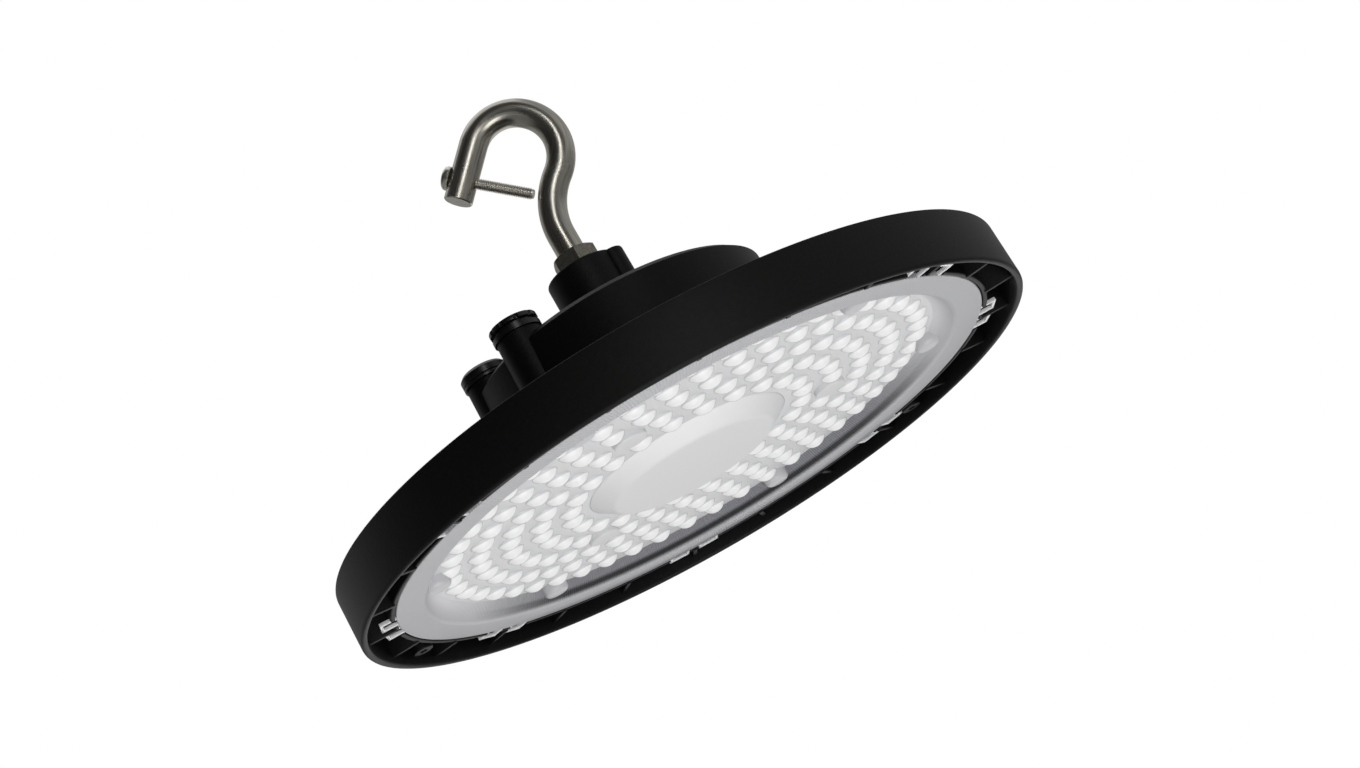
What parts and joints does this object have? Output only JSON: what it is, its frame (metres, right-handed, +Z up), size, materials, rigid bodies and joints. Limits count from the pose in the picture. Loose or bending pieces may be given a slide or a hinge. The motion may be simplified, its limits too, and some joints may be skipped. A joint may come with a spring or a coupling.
{
  "type": "high bay light",
  "caption": "Round hanging high bay light: finned ring casting with an open vent gap, clear lenslet plate below, driver drum with cable ports and a lifting hook on top.",
  "frame": {"origin": "on the ring's axis, at the rim's bottom plane", "axes": "+Z up along the ring's axis toward the hook; the hook's loop lies in the XZ plane with its mouth toward -X"},
  "size_m": [0.3, 0.3, 0.1882],
  "materials": {
    "black_coat": "satin black powder coat, fine grain",
    "clear_lens": "clear moulded polycarbonate",
    "seal_rubber": "moulded silicone rubber",
    "board_white": "white solder mask on aluminium",
    "pad_grey": "thermally conductive sheet",
    "led_phosphor": "yellow phosphor package",
    "screw_steel": "bright zinc plated steel",
    "connector_white": "moulded nylon",
    "lead_red": "wire insulation",
    "tray_white": "insulating moulding",
    "card_green": "solder mask on laminate",
    "coil_yellow": "tape wound coil",
    "ferrite": "ferrite and enamelled wire",
    "can_black": "sleeved aluminium can",
    "hook_steel": "brushed stainless rod",
    "nut_steel": "dark zinc plated steel",
    "screw_black": "black oxide steel",
    "gland_black": "black moulded nylon"
  },
  "bodies": {
    "light": {"heat_sink": "black_coat", "driver_housing": "black_coat", "lens_plate": "clear_lens", "lens_gasket": "seal_rubber", "led_board": "board_white", "thermal_pad": "pad_grey", "leds": "led_phosphor", "board_screws": "screw_steel", "led_connector": "connector_white", "led_leads": "lead_red", "housing_gasket": "seal_rubber", "housing_screws": "screw_steel", "driver_tray": "tray_white", "driver_board": "card_green", "driver_screws": "screw_steel", "transformer": "coil_yellow", "input_terminals": "connector_white", "choke": "ferrite", "capacitors": "can_black", "hook": "hook_steel", "hook_nut": "nut_steel", "hook_lock_screw": "screw_black", "gland_body": "gland_black", "gland_bush": "seal_rubber", "gland_nut": "gland_black", "port_plug": "gland_black", "port_o_rings": "seal_rubber"},
    "closing_screw": {"gate_screw": "screw_steel"}
  },
  "joints": [
    {"name": "gate_slide", "type": "slide", "parent": "light", "child": "closing_screw", "axis": [-0.7373, 0, 0.6756], "range_m": [0, 0.028]}
  ]
}
